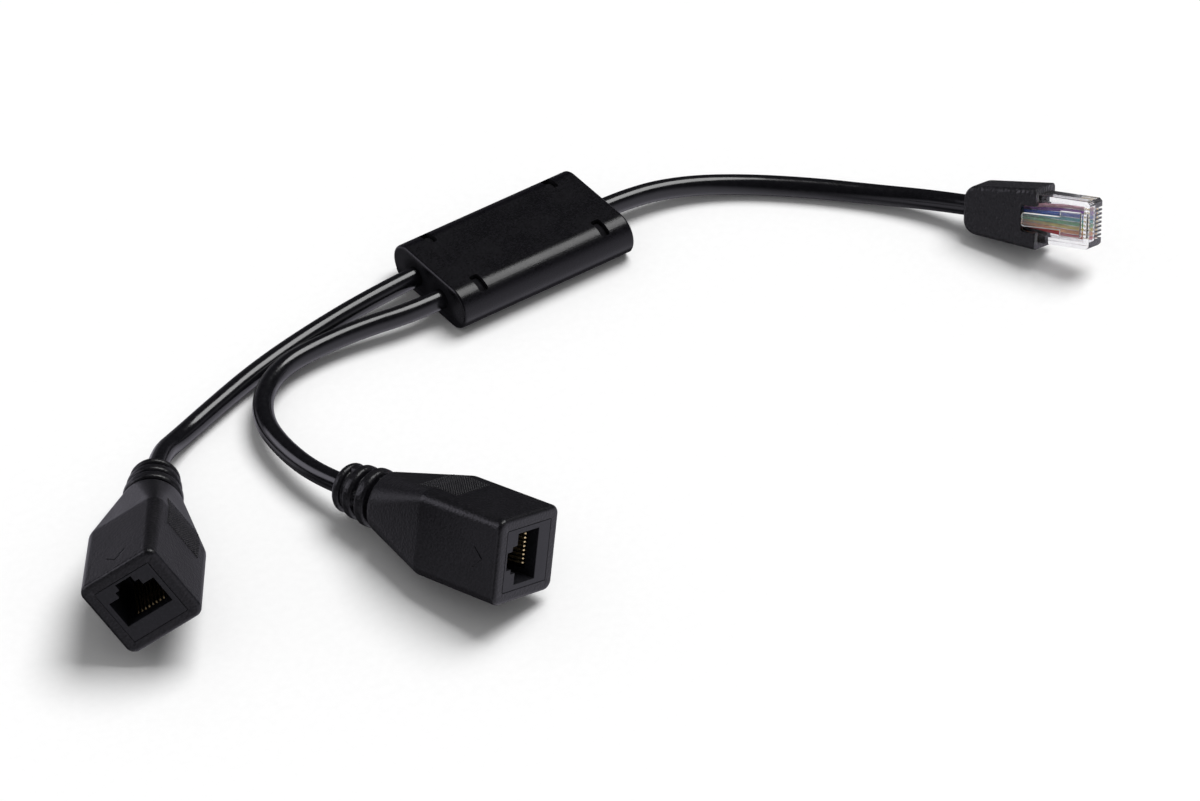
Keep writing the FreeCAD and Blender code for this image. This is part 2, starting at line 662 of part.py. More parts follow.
def latch_strip(x_root, x_end, z_root, z_end, thick_root, thick_end, half_width):
    """Flat strip between two stations, with its own width and thickness."""
    points = [
        V(x_root, -half_width, z_root - thick_root / 2),
        V(x_root, -half_width, z_root + thick_root / 2),
        V(x_end, -half_width, z_end + thick_end / 2),
        V(x_end, -half_width, z_end - thick_end / 2),
    ]
    face = Part.Face(Part.makePolygon(points + points[:1]))
    return face.extrude(V(0, 2 * half_width, 0))


def plug_latch():
    """Latch tongue: wide between root and shoulders, narrow from there to the finger tip."""
    x_root = latch_pivot().x - LATCH_GAP / 2
    x_shoulder = NOSE_X - LATCH_SHOULDER_BACK
    x_tip = NOSE_X - LATCH_TIP_BACK
    share = (x_root - x_shoulder) / (x_root - x_tip)
    z_shoulder = LATCH_ROOT_Z + share * (LATCH_TIP_Z - LATCH_ROOT_Z)
    t_shoulder = LATCH_ROOT_THICKNESS + share * (LATCH_TIP_THICKNESS - LATCH_ROOT_THICKNESS)
    wide = latch_strip(x_root, x_shoulder, LATCH_ROOT_Z, z_shoulder, LATCH_ROOT_THICKNESS, t_shoulder,
                       LATCH_SHOULDER_HALF_WIDTH)
    narrow = latch_strip(x_shoulder, x_tip, z_shoulder, LATCH_TIP_Z, t_shoulder, LATCH_TIP_THICKNESS,
                         LATCH_FINGER_HALF_WIDTH)
    narrow = fillet_where(narrow, 0.6, lambda edge: abs(edge.CenterOfMass.x - x_tip) < 0.01
                          and not runs_along(edge, Y_AXIS))
    return wide.fuse(narrow).removeSplitter()


def latch_pivot():
    """Middle of the thin strip that the latch bends at."""
    return V(NOSE_X - 0.3 - LATCH_ROOT_BLOCK[0] - LATCH_GAP / 2, 0, LATCH_ROOT_Z)


def plug_wires():
    """The eight wires, from the cable end through the boot and fanned out under the blades."""
    strands = []
    for index, (across, up) in enumerate(bundle_order()):
        rear_y = row_offset(index, PLUG_REAR_PITCH)
        stagger = PLUG_REAR_STAGGER if index % 2 else -PLUG_REAR_STAGGER
        strands.append(wire_strand([
            V(BOOT_REAR_X, across, up),
            V(PLUG_BACK_X - 3.3, across, up),
            V(PLUG_BACK_X + 0.8, rear_y, PLUG_FAN_Z + 0.35 + stagger),
            V(PLUG_FAN_X, row_offset(index, CONTACT_PITCH), PLUG_FAN_Z),
            V(NOSE_X - PLUG_CAVITY[3] - 0.1, row_offset(index, CONTACT_PITCH), PLUG_FAN_Z),
        ]))
    return strands


# ---------------------------------------------------------------- cables
def cable(name, exit_point, connector_end, connector_inward):
    """Round cable from the housing end face to the rear face of its connector."""
    corners = [V(*point) for point in CABLE_ROUTES[name]]
    approach = connector_end - connector_inward * LAST_STRAIGHT[name]
    points = [exit_point] + corners + [approach, connector_end]
    path, radii = rounded_path(points)
    tube = swept_round(path, CABLE_DIAMETER)
    expected = path.Length * math.pi * CABLE_DIAMETER ** 2 / 4
    print(name, "length", round(path.Length, 2), "bend radii", radii,
          "volume over expected", round(tube.Volume / expected, 4))
    print("   points", [tuple(round(value, 3) for value in point) for point in points])
    return tube


# ---------------------------------------------------------------- build and write
def export(shape, node):
    """Write one node and report its extent."""
    extent = shape.BoundBox
    print(node, "valid", shape.isValid(), "solids", len(shape.Solids),
          [round(value, 2) for value in (extent.XMin, extent.XMax, extent.YMin, extent.YMax,
                                         extent.ZMin, extent.ZMax)])
    shape.exportStep("parts/" + node + ".step")


def build_housing():
    """Both shells, the board with its parts, the wires and the ferrules."""
    shell = housing_shell()
    export(housing_top_shell(shell), "housing_top_shell")
    export(housing_bottom_shell(shell), "housing_bottom_shell")
    half_length = BOARD_LENGTH / 2
    half_width = BOARD_WIDTH / 2
    board = box(-half_length, half_length, -half_width, half_width, BOARD_Z, BOARD_Z + BOARD_THICKNESS)
    export(board, "circuit_board")
    export(board_pads(), "board_solder_pads")
    export(board_block(FUSE_SIZE, *FUSE_XY), "board_resettable_fuse")
    export(board_block(CLAMP_SIZE, *CLAMP_XY), "board_surge_clamp")
    blocks = [board_block(CAPACITOR_SIZE, x, y) for x, y in CAPACITOR_POSITIONS]
    export(Part.makeCompound(blocks), "board_capacitors")
    for name, end, outward in cable_exits():
        export(housing_conductors(end, outward), name + "_housing_conductors")
        export(housing_ferrule(end, outward), name + "_housing_ferrule")


def build_jack(name):
    """All pieces of one in-line jack; returns the middle of its rear face and its direction."""
    overmould = jack_overmould()
    placement = resting_placement(overmould, JACK_POSES[name])
    pieces = {
        "overmould": overmould,
        "insert": jack_insert(),
        "contact_carrier": jack_contact_carrier(),
        "contact_leads": jack_contact_leads(),
        "contact_springs": jack_contact_springs(),
        "conductors": jack_conductors(),
        "ferrule": ferrule(JACK_FERRULE_FRONT - FERRULE_LENGTH),
    }
    for part_name, shape in pieces.items():
        shape.Placement = placement
        export(shape, name + "_" + part_name)
    print(name, "placement", placement)
    return placement.multVec(V(-JACK_LENGTH, 0, 0)), placement.Rotation.multVec(X_AXIS)


def build_plug():
    """All pieces of the plug; returns the middle of the boot's rear face and its direction."""
    boot = plug_boot()
    placement = resting_placement(boot, PLUG_POSE)
    pieces = {
        "boot": boot,
        "body": plug_body(),
        "latch": plug_latch(),
        "contact_blades": plug_blades(),
    }
    for index, strand in enumerate(plug_wires()):
        pieces["wire_" + str(index + 1)] = strand
    for part_name, shape in pieces.items():
        shape.Placement = placement
        export(shape, "plug_" + part_name)
    print("plug placement", placement, "latch pivot", placement.multVec(latch_pivot()))
    return placement.multVec(V(BOOT_REAR_X, 0, 0)), placement.Rotation.multVec(X_AXIS)


def build():
    """Write every node."""
    build_housing()
    ends = {
        "cable_1": build_jack("jack_1"),
        "cable_2": build_jack("jack_2"),
        "cable_3": build_plug(),
    }
    for name, exit_point, _ in cable_exits():
        connector_end, inward = ends[name]
        export(cable(name, exit_point, connector_end, inward), name + "_jacket")


build()
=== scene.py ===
"""In-line power injector: small housing, three short cables, two in-line jacks and one plug."""
import bmesh
import bpy
import json
import math
from mathutils import Matrix, Vector

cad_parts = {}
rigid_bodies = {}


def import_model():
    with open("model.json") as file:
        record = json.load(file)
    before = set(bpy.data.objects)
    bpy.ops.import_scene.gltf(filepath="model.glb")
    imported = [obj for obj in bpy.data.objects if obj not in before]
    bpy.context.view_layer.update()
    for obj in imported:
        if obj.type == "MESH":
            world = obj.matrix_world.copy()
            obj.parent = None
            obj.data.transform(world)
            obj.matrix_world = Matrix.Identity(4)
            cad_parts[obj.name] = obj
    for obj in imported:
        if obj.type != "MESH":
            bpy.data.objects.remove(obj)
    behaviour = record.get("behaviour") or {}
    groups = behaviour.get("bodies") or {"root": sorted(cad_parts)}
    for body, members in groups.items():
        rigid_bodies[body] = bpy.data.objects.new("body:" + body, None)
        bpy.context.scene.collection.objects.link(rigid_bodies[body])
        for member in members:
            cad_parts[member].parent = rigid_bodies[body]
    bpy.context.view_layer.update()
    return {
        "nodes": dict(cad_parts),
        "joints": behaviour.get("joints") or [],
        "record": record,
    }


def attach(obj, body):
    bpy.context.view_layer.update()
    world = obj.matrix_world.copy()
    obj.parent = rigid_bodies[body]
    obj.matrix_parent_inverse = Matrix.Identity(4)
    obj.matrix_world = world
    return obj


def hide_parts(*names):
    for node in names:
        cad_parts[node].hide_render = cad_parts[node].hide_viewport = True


for leftover in list(bpy.data.objects):
    bpy.data.objects.remove(leftover)
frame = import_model()

NODES = frame["nodes"]
MM = 0.001
ROOT = "injector"

# ---------------------------------------------------------------- driving dimensions, millimetres
HOUSING_LENGTH = 50.0
HOUSING_WIDTH = 30.0
HOUSING_HEIGHT = 10.8
HOUSING_WALL = 1.5
HOUSING_END_WALL = 2.0
HOUSING_END_ROUND = 0.7
SEAM_Z = 2.26
WINDOW_X = 17.9
WINDOW_HALF_X = 1.25
WINDOW_Y = (7.9, 13.1)
WINDOW_FLOOR_Z = 7.2
WINDOW_CORNER = 0.7
WINDOW_EDGE = 0.14
INSIDE_DROP = 0.6
CABLE_PAIR_Y = 5.3
BORE_RADIUS = 2.2
BORE_CUT = 8.0

JACK_HALF = 10.4
JACK_EDGE = (2.4, 2.9)
JACK_FRONT_ROUND = 1.1
JACK_CREASE = -24.0
JACK_CREASE_ROUND = 0.5
JACK_CREASE_SHARE = 0.027
JACK_CREASE_SINK = 1.2
JACK_TAPER_SHARES = (0.004, 0.012, JACK_CREASE_SHARE, 0.2, 0.4, 0.6, 0.8, 0.94, 0.985, 1.0)
JACK_CONE_END = -42.3
JACK_CONE_RADIUS = 7.2
JACK_CONE_STEP = 0.25
JACK_GROOVE_RADIUS = 5.0
JACK_BRIDGE_RADIUS = 5.7
JACK_BRIDGE_HALF = 1.6
JACK_BRIDGE_BLEND = 0.5
JACK_GROOVE_GAP = 0.01
JACK_REAR = -54.8
JACK_RIBS = ((-43.9, -46.8, 7.05), (-48.2, -50.9, 6.5), (-52.4, JACK_REAR, 5.95))
JACK_RIB_ROUND = 0.9
JACK_CAP_ROUND = 1.5
JACK_MOULD_EDGE = 0.05
POCKET_HALF = (7.5, 7.6)
POCKET_CORNER = 0.25
POCKET_EDGE = 0.12
POCKET_DEPTH = 20.8
FAN_END = -34.0
FAN_HALF = (4.9, 4.0)
FAN_MIDDLE_Z = -1.6
CHEVRON_APEX = -4.5
CHEVRON_REACH = 2.6
CHEVRON_HALF_SPAN = 2.5
CHEVRON_LINE = 0.36
CHEVRON_DEPTH = 0.2
CHEVRON_CUT = 2.0
GRIP_X = (-17.6, -29.0)
GRIP_HALF_SPAN = 5.7
GRIP_PITCH = 0.74
GRIP_RADIUS = 0.27
GRIP_HEIGHT = 0.24
GRIP_SINK = 0.03
STUD_SIDES = 8
STUD_PROFILE = ((1.0, -0.25), (1.0, 0.1), (0.78, 0.7), (0.35, 1.0))

BOOT_HALF_LENGTH = 9.9
BOOT_REAR = (5.8, 4.75)
BOOT_FRONT = (7.55, 5.1)
BOOT_EDGE = 1.2
BOOT_REAR_ROUND = (3.2, 0.9)
BOOT_FRONT_ROUND = 0.25
BOOT_POCKET_HALF = (5.87, 3.33)
BOOT_POCKET_CORNER = 0.2
BOOT_POCKET_BACK = 2.1
BOOT_FAN_BACK = -1.5
BOOT_FAN_HALF = (4.4, 2.4)
BOOT_MOULD_EDGE = 0.12
NOTCH_DEPTH = 4.0
NOTCH_HALF = 3.3
NOTCH_CORNER = 0.9
NOTCH_SINK = 0.15
NOTCH_CUT = 4.0
PLUG_NOSE_X = 23.6

CORNER_STEPS = 24
CUTTER_SKIP = 3
END_STEPS = 4
ROUND_STEPS = 6
FINE_STEPS = 4
REAR_STEPS = 5
ROUND_SLACK = 0.05
SMOOTH_ANGLE = math.radians(35)
MOULD_ANGLE = math.radians(40)
STUD_ANGLE = math.radians(60)
FLAT_ANGLE = math.radians(1)
WELD_GAP = 0.002
DOUBLE_GAP = 1e-5
NORMAL_WEIGHT = 80
NODE_EDGES = {
    "plug_body": 0.1,
    "plug_latch": 0.14,
    "plug_contact_blades": 0.04,
    "housing_bottom_shell": 0.1,
}
JACK_NODE_EDGES = {"insert": 0.1, "contact_carrier": 0.06, "contact_springs": 0.05}

# ---------------------------------------------------------------- surface patterns
CLOUD_SIZE = 9.0
CLOUD_DEPTH = 0.006
SPECKLE_SIZE = 0.5
FLECK_RANGE = (0.45, 0.7)
FLECK_STRENGTH = 0.8
FLECK_LIGHT = 2.4
# Lighter convex edges: partly rubbed wear, partly a painted highlight along the edges.
RUBBED_AND_HIGHLIGHT_LIGHT = 1.7
RUBBED_AND_HIGHLIGHT_RANGE = (0.53, 0.62)
GLOSS_DRIFT = 0.03
DUST_REACH = 5.0
DUST_MATT = 0.7
DUST_RANGE = (0.8, 0.97)
FACING_RANGE = (0.35, 0.75)

# ---------------------------------------------------------------- cords, metres
CABLE_DIAMETER = 0.005
CORD_POINTS = {
    "cable_1": [(-0.025, 0.0053, 0.0054), (-0.0381, 0.0053, 0.0048), (-0.0581, 0.0039, 0.0031),
                (-0.0751, 0.0002, 0.003), (-0.0908, -0.0051, 0.0031), (-0.103, -0.0094, 0.003),
                (-0.112812, -0.015549, 0.006662), (-0.118575, -0.023309, 0.008279)],
    "cable_2": [(-0.025, -0.0053, 0.0054), (-0.0337, -0.0053, 0.0053), (-0.0463, -0.0027, 0.0048),
                (-0.0584, -0.0019, 0.0044), (-0.0695, -0.0032, 0.0046), (-0.0791, -0.009, 0.0051),
                (-0.0852, -0.0184, 0.0053), (-0.087, -0.0296, 0.0056),
                (-0.086508, -0.042582, 0.00651), (-0.08425, -0.05119, 0.007856)],
    "cable_3": [(0.025, 0.0, 0.0054), (0.0355, 0.0003, 0.0049), (0.0486, -0.0022, 0.0036),
                (0.0611, -0.0089, 0.0027), (0.0742, -0.0203, 0.0027), (0.0852, -0.032, 0.0029),
                (0.094339, -0.043691, 0.004329), (0.09854, -0.05254, 0.00634)],
}

# ---------------------------------------------------------------- camera and light
CAMERA_LOCATION = (-0.8318, -1.1770, 1.1533)
CAMERA_TARGET = (-0.013115, -0.053075, 0.0)
CAMERA_LENS = 229.94
SENSOR_WIDTH = 36.0
CLIP_DISTANCES = (0.05, 50)
FLOOR_SIZE = 6.0
SOFT_LIGHT = 0.34
DARK_ROOM = 0.02
CLEAR_LIGHT = 0.85
WHITE = (1.0, 1.0, 1.0, 1.0)
GLOSS_TINT = (0.95, 0.92, 1.05, 1.0)
GLOSS_PANELS = (
    # direction, cosine where the panel starts, cosine where it is full, strength
    ((0.30, -0.75, -0.55), 0.20, 0.90, 1.05),
    ((-1.00, -0.10, -0.10), 0.80, 0.97, 0.75),
    ((-0.55, 0.80, -0.15), 0.88, 0.96, 0.60),
    ((0.15, 0.98, -0.10), 0.90, 0.98, 0.12),
    ((0.05, 0.90, -0.42), 0.93, 0.98, 0.60),
    ((0.90, 0.35, -0.35), 0.85, 0.97, 0.45),
    ((-0.64, 0.62, 0.45), 0.92, 0.98, 2.60),
    ((-0.45, 0.60, -0.66), 0.90, 0.97, 0.12),
)
KEY_DIRECTION = (0.453, 0.07, 0.889)
KEY_STRENGTH = 2.62
KEY_ANGLE = math.radians(38)


# ---------------------------------------------------------------- material helpers
class Surface:
    """A node material built round one Principled shader, textured in the model's own metres."""

    def __init__(self, name):
        self.material = bpy.data.materials.new(name)
        self.material.use_nodes = True
        self.tree = self.material.node_tree
        self.shader = self.tree.nodes["Principled BSDF"]
        self.coordinates = self.tree.nodes.new("ShaderNodeTexCoord").outputs["Object"]

    def set(self, **values):
        """Constants straight on the shader's sockets; underscores stand for spaces."""
        for key, value in values.items():
            self.shader.inputs[key.replace("_", " ")].default_value = value

    def link(self, source, target):
        self.tree.links.new(source, target)

    def noise(self, size, detail=2.0, stretch=(1, 1, 1)):
        """Noise whose blobs are about size millimetres across."""
        mapping = self.tree.nodes.new("ShaderNodeMapping")
        mapping.inputs["Scale"].default_value = stretch
        node = self.tree.nodes.new("ShaderNodeTexNoise")
        node.inputs["Scale"].default_value = 1 / (size * MM)
        node.inputs["Detail"].default_value = detail
        self.link(self.coordinates, mapping.inputs["Vector"])
        self.link(mapping.outputs["Vector"], node.inputs["Vector"])
        return node.outputs["Fac"]

    def cells(self, size):
        """Cell distance pattern, like spark-eroded tooling."""
        node = self.tree.nodes.new("ShaderNodeTexVoronoi")
        node.inputs["Scale"].default_value = 1 / (size * MM)
        self.link(self.coordinates, node.inputs["Vector"])
        return node.outputs["Distance"]

    def spread(self, source, low, high, start=0.3, end=0.7):
        """A factor mapped to a range of values."""
        node = self.tree.nodes.new("ShaderNodeMapRange")
        node.inputs["From Min"].default_value = start
        node.inputs["From Max"].default_value = end
        node.inputs["To Min"].default_value = low
        node.inputs["To Max"].default_value = high
        self.link(source, node.inputs["Value"])
        return node.outputs["Result"]

    def blend(self, factor, first, second):
        """Colour mixed between two colours or sockets."""
        node = self.tree.nodes.new("ShaderNodeMix")
        node.data_type = "RGBA"
        self.link(factor, node.inputs["Factor"])
        for socket, value in ((node.inputs["A"], first), (node.inputs["B"], second)):
            if isinstance(value, bpy.types.NodeSocket):
                self.link(value, socket)
            else:
                socket.default_value = (*value, 1.0)
        return node.outputs["Result"]

    def add(self, first, second):
        node = self.tree.nodes.new("ShaderNodeMath")
        node.operation = "ADD"
        self.link(first, node.inputs[0])
        self.link(second, node.inputs[1])
        return node.outputs["Value"]

    def edges(self):
        """One on convex edges, zero on flat faces."""
        geometry = self.tree.nodes.new("ShaderNodeNewGeometry")
        return self.spread(geometry.outputs["Pointiness"], 0.0, 1.0, *RUBBED_AND_HIGHLIGHT_RANGE)

    def openness(self, reach):
        """One in the open, falling to zero down in holes of about that many millimetres."""
        node = self.tree.nodes.new("ShaderNodeAmbientOcclusion")
        node.inputs["Distance"].default_value = reach * MM
        return node.outputs["AO"]

    def facing(self, direction):
        """One on faces square to a direction of the model, either way round, zero elsewhere."""
        geometry = self.tree.nodes.new("ShaderNodeNewGeometry")
        dot = self.tree.nodes.new("ShaderNodeVectorMath")
        dot.operation = "DOT_PRODUCT"
        dot.inputs[1].default_value = direction
        self.link(geometry.outputs["Normal"], dot.inputs[0])
        size = self.tree.nodes.new("ShaderNodeMath")
        size.operation = "ABSOLUTE"
        self.link(dot.outputs["Value"], size.inputs[0])
        return self.spread(size.outputs["Value"], 0.0, 1.0, *FACING_RANGE)

    def bump(self, heights):
        """Stacked bumps, each a pattern and its depth in millimetres."""
        previous = None
        for pattern, depth in heights:
            node = self.tree.nodes.new("ShaderNodeBump")
            node.inputs["Distance"].default_value = depth * MM
            self.link(pattern, node.inputs["Height"])
            if previous is not None:
                self.link(previous, node.inputs["Normal"])
            previous = node.outputs["Normal"]
        self.link(previous, self.shader.inputs["Normal"])

    def colour(self, source):
        self.link(source, self.shader.inputs["Base Color"])

    def roughness(self, source):
        self.link(source, self.shader.inputs["Roughness"])


def scaled(colour, factor):
    return tuple(channel * factor for channel in colour)


def moulded(name, colour, rough, grain, depth, specular=0.3, pits=None, dusty=False):
    """Injection-moulded black plastic: fine tool grain, cloudy gloss, and convex edges painted
    lighter, partly as rubbed wear and partly as a painted edge highlight.
    """
    surface = Surface(name)
    cloud = surface.noise(CLOUD_SIZE, detail=3.0)
    speckle = surface.noise(SPECKLE_SIZE)
    tint = surface.blend(surface.spread(cloud, 0, 1), scaled(colour, 0.88), scaled(colour, 1.12))
    flecks = surface.spread(speckle, 0, FLECK_STRENGTH, *FLECK_RANGE)
    tint = surface.blend(flecks, tint, scaled(colour, FLECK_LIGHT))
    # Convex edges painted lighter: partly rubbed wear, partly a painted edge highlight.
    surface.colour(surface.blend(surface.edges(), tint, scaled(colour, RUBBED_AND_HIGHLIGHT_LIGHT)))
    gloss = surface.spread(cloud, rough - GLOSS_DRIFT, rough + GLOSS_DRIFT)
    gloss = surface.add(gloss, surface.spread(speckle, -GLOSS_DRIFT, GLOSS_DRIFT))
    if dusty:
        dust = surface.spread(surface.openness(DUST_REACH), DUST_MATT, 0.0, *DUST_RANGE)
        gloss = surface.add(gloss, dust)
    surface.roughness(gloss)
    heights = [(cloud, CLOUD_DEPTH), (surface.noise(grain, detail=1.0), depth)]
    if pits:
        heights.append((surface.cells(pits), 2 * depth))
    surface.bump(heights)
    surface.set(IOR=1.5, Specular_IOR_Level=specular)
    return surface.material


def cable_jacket():
    """Glossy extruded jacket with soft lumps where the twisted wires press on it."""
    surface = Surface("cable_jacket")
    lumps = surface.noise(5.5, detail=1.0)
    haze = surface.noise(1.3, detail=3.0)
    dark = (0.0045, 0.0044, 0.0055)
    surface.colour(surface.blend(surface.spread(haze, 0, 1), dark, scaled(dark, 1.5)))
    surface.roughness(surface.spread(haze, 0.13, 0.2))
    surface.bump([(lumps, 0.06), (haze, 0.004), (surface.noise(0.22), 0.001)])
    surface.set(IOR=1.5, Specular_IOR_Level=0.45)
    return surface.material


def clear_plastic(name, wall=None):
    """Clear polycarbonate with faint flow waves; faces square to wall get a painted white glow,
    less clear and rougher, for the light that shows at the latch's side walls.
    """
    surface = Surface(name)
    waves = surface.noise(2.4, detail=1.0)
    fine = surface.noise(0.3)
    body = surface.blend(surface.spread(waves, 0, 1), (0.95, 0.945, 0.965), (0.91, 0.90, 0.935))
    gloss = surface.spread(fine, 0.015, 0.05)
    if wall is not None:
        # Painted glow: faces square to the wall are painted white and made less clear, for the
        # bright light seen at the latch's side walls.
        painted_edge_glow = surface.facing(wall)
        body = surface.blend(painted_edge_glow, body, (0.95, 0.95, 0.96))
        gloss = surface.add(gloss, surface.spread(painted_edge_glow, 0, 0.4, 0, 1))
        clear = surface.spread(painted_edge_glow, 0.99, 0.1, 0, 1)
        surface.link(clear, surface.shader.inputs["Transmission Weight"])
    surface.colour(body)
    surface.roughness(gloss)
    surface.bump([(waves, 0.03), (fine, 0.002)])
    surface.set(IOR=1.52, Specular_IOR_Level=0.5)
    if wall is None:
        surface.set(Transmission_Weight=0.98)
    return surface.material


def insulation(name, colour):
    """Coloured wire insulation, a little translucent and uneven."""
    surface = Surface(name)
    cloud = surface.noise(1.4, detail=2.0)
    surface.colour(surface.blend(surface.spread(cloud, 0, 1), colour, scaled(colour, 0.72)))
    surface.roughness(surface.spread(cloud, 0.3, 0.42))
    surface.bump([(cloud, 0.02), (surface.noise(0.15), 0.003)])
    surface.set(IOR=1.46)
    return surface.material


def metal(name, colour, rough):
    """Plated metal with draw marks and stains."""
    surface = Surface(name)
    stain = surface.noise(0.8, detail=3.0)
    marks = surface.noise(0.08, detail=1.0, stretch=(1, 0.2, 0.2))
    surface.colour(surface.blend(surface.spread(stain, 0, 1), colour, scaled(colour, 0.75)))
    surface.roughness(surface.spread(stain, rough, rough + 0.15))
    surface.bump([(marks, 0.003)])
    surface.set(Metallic=1.0)
    return surface.material


def board_part(name, colour, rough):
    """Laminate, ceramic or moulded epoxy with fine speckle."""
    surface = Surface(name)
    speckle = surface.noise(0.3, detail=3.0)
    surface.colour(surface.blend(surface.spread(speckle, 0, 1), colour, scaled(colour, 0.7)))
    surface.roughness(surface.spread(speckle, rough, rough + 0.15))
    surface.bump([(speckle, 0.01)])
    return surface.material


def paper_floor():
    """Seamless white paper."""
    surface = Surface("white_paper")
    fibre = surface.noise(2.0, detail=4.0)
    fibres = surface.spread(fibre, 0, 1)
    surface.colour(surface.blend(fibres, (0.93, 0.93, 0.93), (0.95, 0.95, 0.95)))
    surface.roughness(surface.spread(fibre, 0.75, 0.85))
    surface.bump([(fibre, 0.02)])
    surface.set(Specular_IOR_Level=0.2)
    return surface.material


WIRE_COLOURS = (
    (0.62, 0.03, 0.04),
    (0.85, 0.30, 0.03),
    (0.80, 0.62, 0.05),
    (0.10, 0.48, 0.16),
    (0.03, 0.42, 0.45),
    (0.05, 0.13, 0.55),
    (0.28, 0.10, 0.42),
    (0.50, 0.26, 0.30),
)


def make_materials():
    """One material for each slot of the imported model."""
    made = {
        "housing_plastic": moulded("housing_plastic", (0.0021, 0.0019, 0.0030), 0.29, 0.45, 0.02,
                                   specular=0.26, dusty=True),
        "overmould_black": moulded("overmould_black", (0.0046, 0.0044, 0.0056), 0.35, 0.6, 0.09),
        "boot_black": moulded("boot_black", (0.0052, 0.0050, 0.0062), 0.36, 0.55, 0.085,
                              specular=0.42, pits=0.65),
        "socket_plastic": moulded("socket_plastic", (0.007, 0.007, 0.009), 0.45, 0.14, 0.006),
        "cable_jacket": cable_jacket(),
        "clear_plastic": clear_plastic("clear_plastic"),
        "contact_gold": metal("contact_gold", (0.95, 0.76, 0.42), 0.28),
        # Painted shade: a darker copy of the contact gold, for jack_1's contacts down in the
        # shaded mouth.
        "shaded_gold": metal("shaded_gold", (0.38, 0.29, 0.15), 0.36),
        "ferrule_metal": metal("ferrule_metal", (0.72, 0.6, 0.38), 0.3),
        "solder": metal("solder", (0.75, 0.75, 0.77), 0.28),
        "board_laminate": board_part("board_laminate", (0.02, 0.14, 0.06), 0.35),
        "ceramic": board_part("ceramic", (0.52, 0.40, 0.26), 0.5),
        "chip_black": board_part("chip_black", (0.02, 0.02, 0.021), 0.5),
        "conductor_insulation": insulation("conductor_insulation", (0.42, 0.42, 0.44)),
    }
    for index, colour in enumerate(WIRE_COLOURS):
        name = "wire_" + str(index + 1)
        made[name] = insulation(name, colour)
    return made


# ---------------------------------------------------------------- mesh helpers
def own_frame(mount_name, joint_name, set_back):
    """Frame of a connector from its packed mount and joint: X out, Z to the latch side."""
    mount = next(m for m in frame["record"]["mounts"] if m["name"] == mount_name)
    joint = next(j for j in frame["joints"] if j["name"] == joint_name)
    out = Vector(mount["axis"]).normalized()
    side = -Vector(joint["axis"]).normalized()
    up = out.cross(side).normalized()
    origin = Vector(mount["pos_m"]) - out * set_back * MM
    turned = Matrix((out, up.cross(out), up)).transposed().to_4x4()
    return Matrix.Translation(origin) @ turned @ Matrix.Scale(MM, 4)


def latch_wall():
    """Direction square to the latch's side walls: along its pivot."""
    joint = next(j for j in frame["joints"] if j["name"] == "plug_latch_press")
    return Vector(joint["axis"]).normalized()


def rounded_ring(x, half_y, half_z, radius, middle_z=0.0):
    """Points round a rounded rectangle in a plane of constant X."""
    points = []
    for quarter, (sign_y, sign_z) in enumerate(((1, 1), (-1, 1), (-1, -1), (1, -1))):
        centre_y = sign_y * (half_y - radius)
        centre_z = middle_z + sign_z * (half_z - radius)
        for step in range(CORNER_STEPS + 1):
            angle = math.radians(90 * quarter + 90 * step / CORNER_STEPS)
            points.append((x, centre_y + radius * math.cos(angle),
                           centre_z + radius * math.sin(angle)))
    return points


def arc_steps(count):
    """Angles that split a quarter turn into equal steps."""
    return [math.pi / 2 * step / count for step in range(count + 1)]


def circle_ring(x, radius):
    return rounded_ring(x, radius, radius, radius - ROUND_SLACK)


def loft(bm, rings, closed=False):
    """Quads between neighbouring rings; a closed loft joins the last ring to the first."""
    loops = [[bm.verts.new(point) for point in ring] for ring in rings]
    pairs = list(zip(loops, loops[1:]))
    if closed:
        pairs.append((loops[-1], loops[0]))
    for first, second in pairs:
        count = len(first)
        for index in range(count):
            after = (index + 1) % count
            bm.faces.new((first[index], first[after], second[after], second[index]))
    if not closed:
        bm.faces.new(reversed(loops[0]))
        bm.faces.new(loops[-1])
    return loops


def prism(bm, outline, direction):
    """Solid prism from a flat outline pushed along a direction."""
    push = Vector(direction)
    loft(bm, [outline, [tuple(Vector(point) + push) for point in outline]])


def new_object(name, bm, matrix):
    """Object from mesh data in millimetres, placed by a matrix."""
    bmesh.ops.remove_doubles(bm, verts=bm.verts, dist=DOUBLE_GAP)
    bmesh.ops.recalc_face_normals(bm, faces=bm.faces)
    bm.transform(matrix)
    mesh = bpy.data.meshes.new(name)
    bm.to_mesh(mesh)
    bm.free()
    piece = bpy.data.objects.new(name, mesh)
    bpy.context.scene.collection.objects.link(piece)
    return piece


def carve(piece, cutters):
    """Cut the cutters out of a piece and remove them."""
    for cutter in cutters:
        modifier = piece.modifiers.new("cut", "BOOLEAN")
        modifier.operation = "DIFFERENCE"
        modifier.solver = "EXACT"
        modifier.object = cutter
    bpy.context.view_layer.update()
    graph = bpy.context.evaluated_depsgraph_get()
    mesh = bpy.data.meshes.new_from_object(piece.evaluated_get(graph))
    piece.modifiers.clear()
    piece.data = mesh
    for cutter in cutters:
        bpy.data.objects.remove(cutter)


def soften(piece, width, angle=SMOOTH_ANGLE, segments=2):
    """Small rounded edges wherever two faces meet at a clear angle, and smooth shading."""
    bevel = piece.modifiers.new("edges", "BEVEL")
    bevel.width = width * MM
    bevel.segments = segments
    bevel.limit_method = "ANGLE"
    bevel.angle_limit = angle
    bevel.use_clamp_overlap = True
    bevel.miter_outer = "MITER_ARC"
    smooth(piece, angle)


def smooth(piece, angle):
    """Smooth shading, sharp past the angle on pieces whose edges aren't rounded."""
    piece.data.shade_smooth()
    piece.data.set_sharp_from_angle(angle=math.pi if piece.modifiers else angle)
    normals = piece.modifiers.new("normals", "WEIGHTED_NORMAL")
    normals.keep_sharp = True
    normals.weight = NORMAL_WEIGHT


